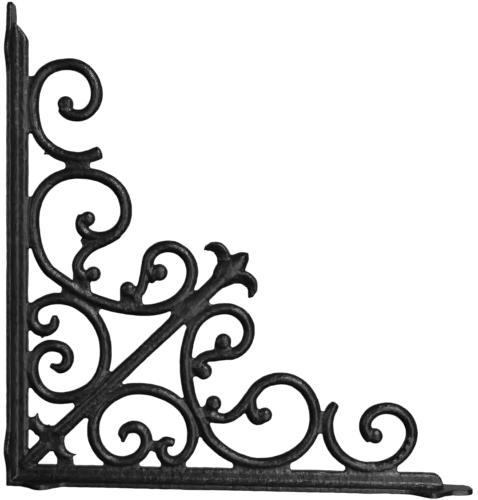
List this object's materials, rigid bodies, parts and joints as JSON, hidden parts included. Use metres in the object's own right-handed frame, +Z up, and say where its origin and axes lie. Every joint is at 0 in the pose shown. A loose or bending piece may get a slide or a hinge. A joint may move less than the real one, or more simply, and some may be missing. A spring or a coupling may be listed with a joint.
{
  "type": "shelf bracket",
  "caption": "Right-angled cast shelf bracket: flanged wall and shelf arms braced by open scrollwork and a diagonal rod with a leafy finial.",
  "frame": {"origin": "on the flat back of the wall arm's plate, at the bracket's mid-plane, 200 mm above the corner where the arms meet", "axes": "+Z up along the wall arm, +X away from the wall along the shelf arm, +Y into the picture across the plates; the front faces -Y"},
  "size_m": [0.387, 0.05, 0.4097],
  "materials": {
    "black_iron": "satin black paint over rough sand-cast iron"
  },
  "bodies": {
    "root": {"bracket_casting": "black_iron"}
  },
  "joints": []
}
